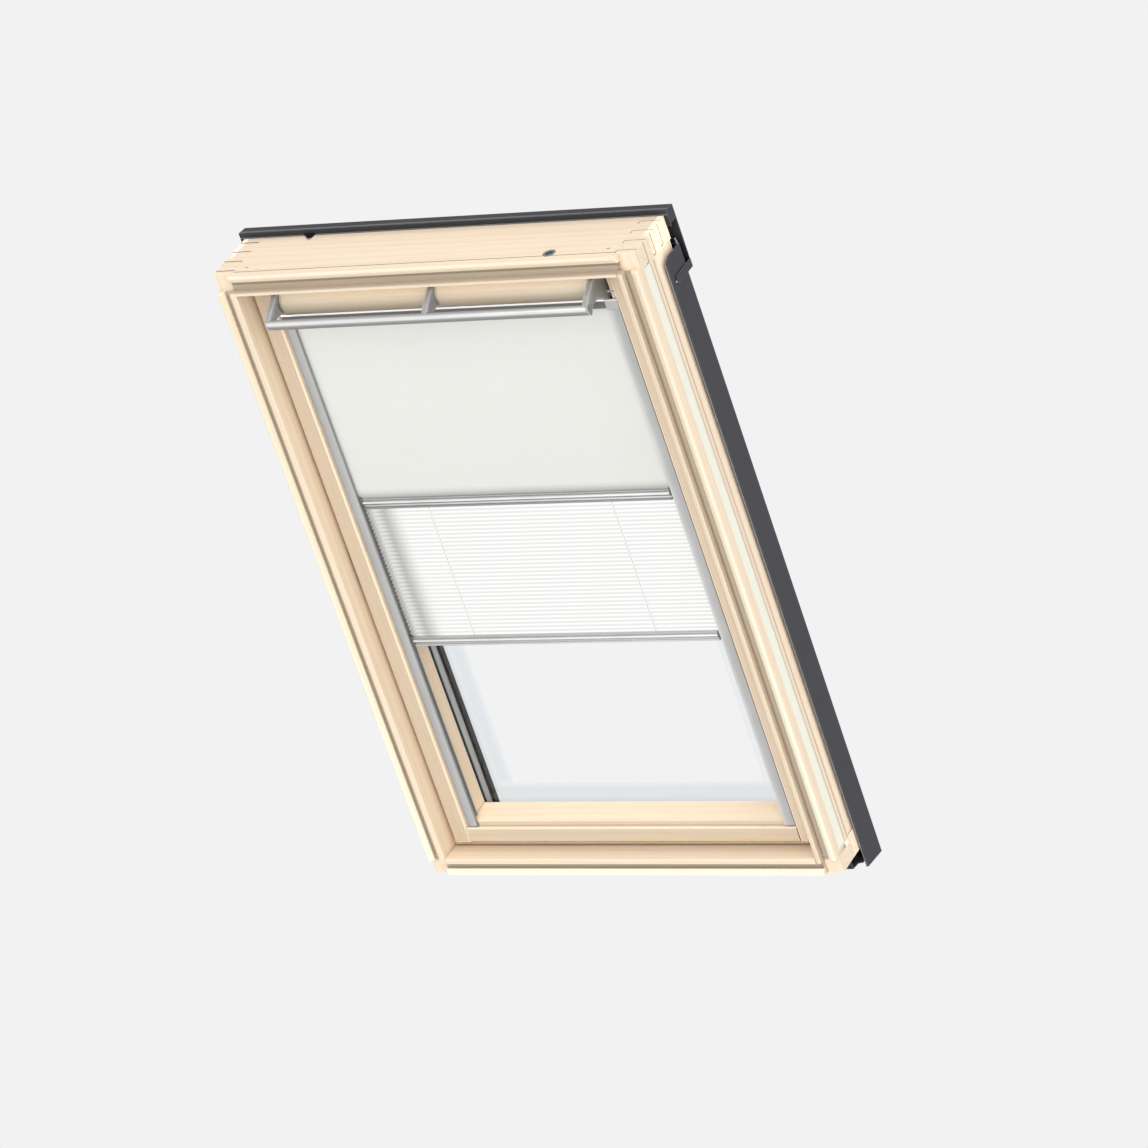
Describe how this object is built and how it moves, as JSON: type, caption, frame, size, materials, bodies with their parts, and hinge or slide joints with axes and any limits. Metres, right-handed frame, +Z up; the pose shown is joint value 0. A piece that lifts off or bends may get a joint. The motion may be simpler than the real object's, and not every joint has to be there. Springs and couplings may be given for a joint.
{
  "type": "skylight window blind",
  "caption": "Centre pivot pine roof window with a ventilation flap and handle bar, and a blackout and pleated blind on two sliding bars in its sash.",
  "frame": {"origin": "middle of the frame's bottom face, 30 mm behind the room face of the lips", "axes": "+X to the right seen from the room, +Y from the room to the outside, +Z up along the window"},
  "size_m": [0.7972, 0.1738, 1.2288],
  "materials": {
    "pine": "clear lacquered pine",
    "foam_strip": "pale green foam strip",
    "cladding": "dark grey lacquered aluminium sheet",
    "silver": "satin anodised aluminium",
    "bracket_grey": "grey lacquer with a bright front edge",
    "steel": "zinc plated steel",
    "zinc": "dull zinc plated sheet",
    "glass": "clear float glass",
    "black_rubber": "black rubber",
    "spacer": "satin spacer bar",
    "blackout_fabric": "close woven blackout cloth",
    "pleat_fabric": "thin translucent pleated cloth",
    "grey_plastic": "moulded plastic"
  },
  "bodies": {
    "frame": {"frame_side_left": "pine", "frame_side_right": "pine", "frame_top": "pine", "frame_bottom": "pine", "insulation_strip_left": "foam_strip", "insulation_strip_right": "foam_strip", "frame_cover_left": "cladding", "frame_cover_right": "cladding", "hood": "cladding", "frame_bottom_cover": "cladding", "top_clip": "zinc", "top_plug": "zinc", "pivot_plate_left": "steel", "pivot_plate_right": "steel", "lock_striker": "steel", "bolt_bush": "grey_plastic"},
    "sash": {"sash_stile_left": "pine", "sash_stile_right": "pine", "sash_top_rail": "pine", "sash_bottom_rail": "pine", "pane_inner": "glass", "pane_outer": "glass", "glazing_spacer": "spacer", "glazing_gasket": "black_rubber", "sash_seal_lower": "black_rubber", "sash_seal_upper": "black_rubber", "sash_cover_left": "cladding", "sash_cover_right": "cladding", "sash_cover_top": "cladding", "sash_cover_bottom": "cladding", "pivot_pin_left": "steel", "pivot_pin_right": "steel", "lock_case": "steel", "bolt_tube": "steel", "flap_pin_left": "steel", "flap_pin_right": "steel", "blind_casing": "silver", "side_rail_left": "silver", "side_rail_right": "silver", "casing_cap_left": "grey_plastic", "casing_cap_right": "grey_plastic", "blackout_cloth": "blackout_fabric"},
    "latch": {"latch_tongue": "steel"},
    "bolt": {"barrel_bolt": "steel"},
    "flap": {"vent_flap": "pine", "flap_bracket_left": "bracket_grey", "flap_bracket_middle": "bracket_grey", "flap_bracket_right": "bracket_grey", "handle_bar": "silver"},
    "roller": {"roller_tube": "steel", "cloth_roll": "blackout_fabric"},
    "blackout_bar": {"middle_bar": "silver", "middle_bar_glide_left": "grey_plastic", "middle_bar_glide_right": "grey_plastic", "pleated_cloth": "pleat_fabric", "pleat_cord_left": "pleat_fabric", "pleat_cord_right": "pleat_fabric"},
    "pleat_bar": {"lower_bar": "silver", "lower_bar_glide_left": "grey_plastic", "lower_bar_glide_right": "grey_plastic"}
  },
  "joints": [
    {"name": "sash_pivot", "type": "hinge", "parent": "frame", "child": "sash", "pos_m": [0, 0.036, 0.589], "axis": [1, 0, 0], "range_deg": [0, 150]},
    {"name": "flap_hinge", "type": "hinge", "parent": "sash", "child": "flap", "pos_m": [0, 0.016, 1.094], "axis": [1, 0, 0], "range_deg": [0, 40]},
    {"name": "latch_slide", "type": "slide", "parent": "sash", "child": "latch", "axis": [0, 0, -1], "range_m": [0, 0.006]},
    {"name": "bolt_slide", "type": "slide", "parent": "sash", "child": "bolt", "axis": [1, 0, 0], "range_m": [0, 0.006]},
    {"name": "blackout_slide", "type": "slide", "parent": "sash", "child": "blackout_bar", "axis": [0, 0, 1], "range_m": [-0.15, 0.28], "deforming": ["blackout_cloth"]},
    {"name": "pleat_slide", "type": "slide", "parent": "blackout_bar", "child": "pleat_bar", "axis": [0, 0, 1], "range_m": [-0.2, 0.2], "deforming": ["pleated_cloth", "pleat_cord_left", "pleat_cord_right"]},
    {"name": "roller_turn", "type": "hinge", "parent": "sash", "child": "roller", "pos_m": [0, 0.0344, 1.082], "axis": [1, 0, 0], "range_deg": [-1600, 860]}
  ],
  "couplings": [
    {"joint": "latch_slide", "follows": "flap_hinge", "m_per_rad": 0.00859},
    {"joint": "roller_turn", "follows": "blackout_slide", "rad_per_m": -98}
  ]
}
